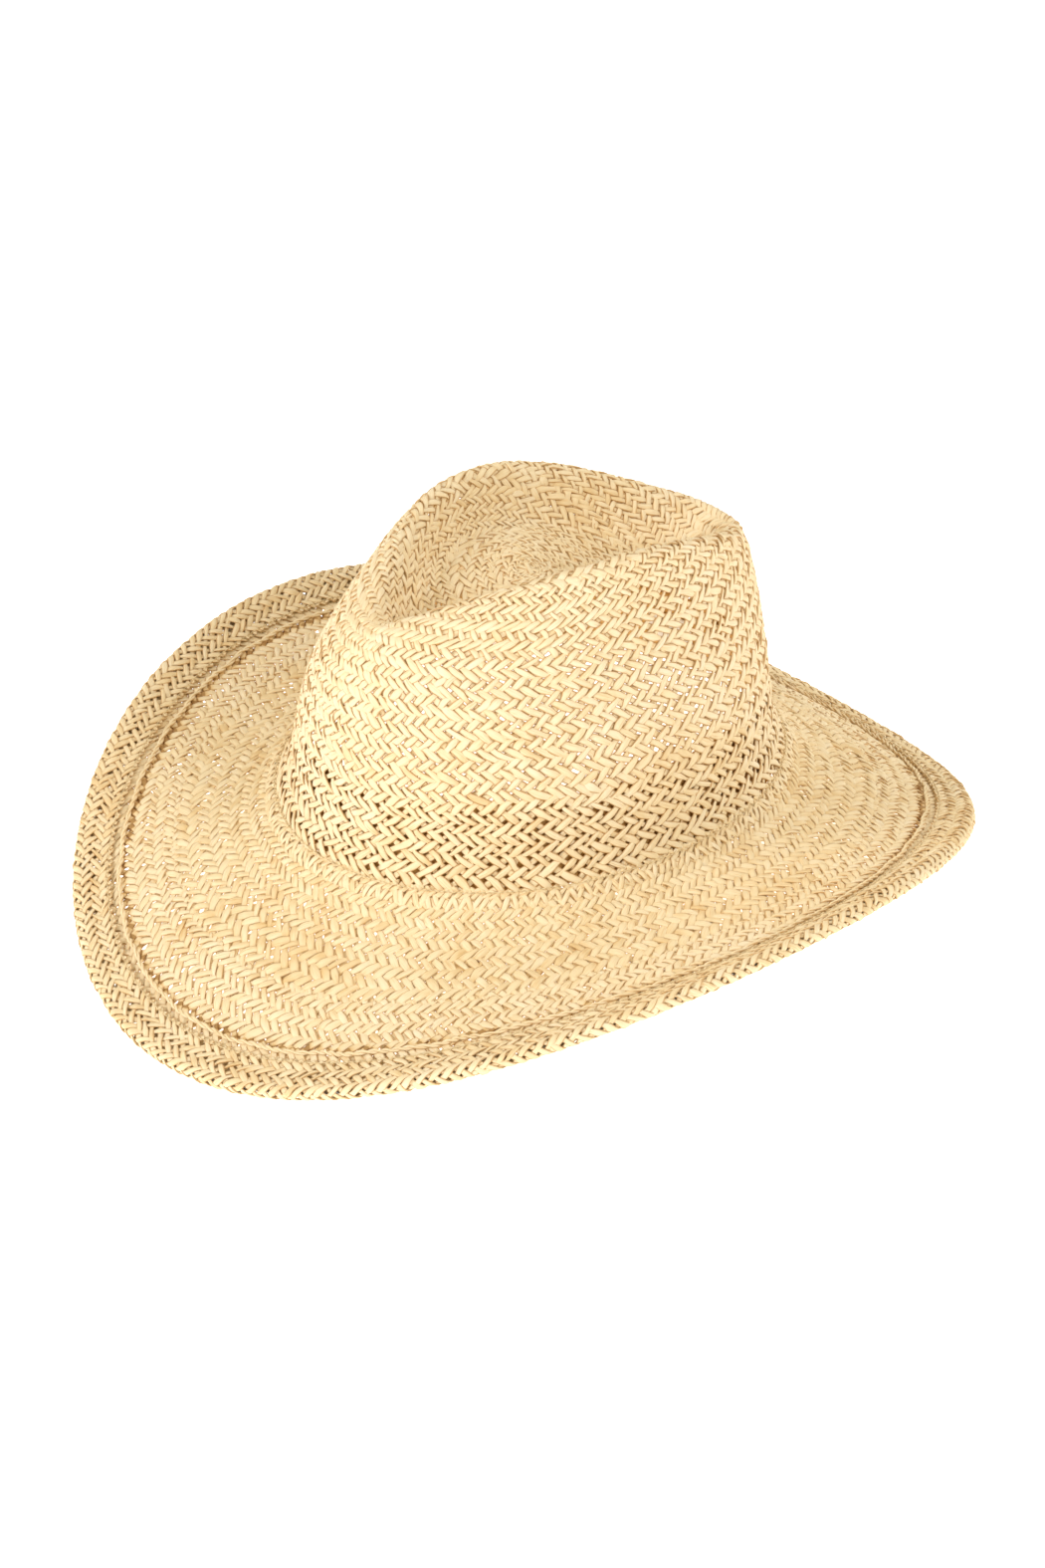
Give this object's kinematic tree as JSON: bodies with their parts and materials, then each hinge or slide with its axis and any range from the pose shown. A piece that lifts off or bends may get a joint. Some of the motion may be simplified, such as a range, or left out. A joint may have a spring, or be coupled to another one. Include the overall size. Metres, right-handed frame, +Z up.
{
  "type": "woven straw western hat",
  "caption": "Woven paper-straw western hat: teardrop crown, brim curled at the sides and dipped front and back, wired and stitched hem, inner sweatband.",
  "frame": {"origin": "on the table, under the middle of the hat's box, where the brim's front and back tips touch the table", "axes": "+Z up, -Y towards the front of the hat (the narrow end of the crown's dent), +X towards the wearer's left"},
  "size_m": [0.3162, 0.3692, 0.1606],
  "materials": {
    "paper_straw": "matte twisted paper, open two-over-two twill weave",
    "paper_cord": "matte twisted paper cord",
    "wire": "drawn spring wire",
    "joiner": "crimped sleeve",
    "thread": "matte sewing thread, straw coloured",
    "sweatband_cloth": "ribbed cloth band, matte tan",
    "tab_cloth": "matte tan cloth",
    "label_cloth": "blank woven label, soft white"
  },
  "bodies": {
    "root": {"woven_body": "paper_straw", "hem_edge_cord": "paper_cord", "brim_wire": "wire", "wire_joiner": "joiner", "hem_needle_thread": "thread", "hem_bobbin_thread": "thread", "sweatband": "sweatband_cloth", "sweatband_tab": "tab_cloth", "size_label": "label_cloth", "sweatband_needle_thread": "thread", "sweatband_bobbin_thread": "thread"}
  },
  "joints": []
}
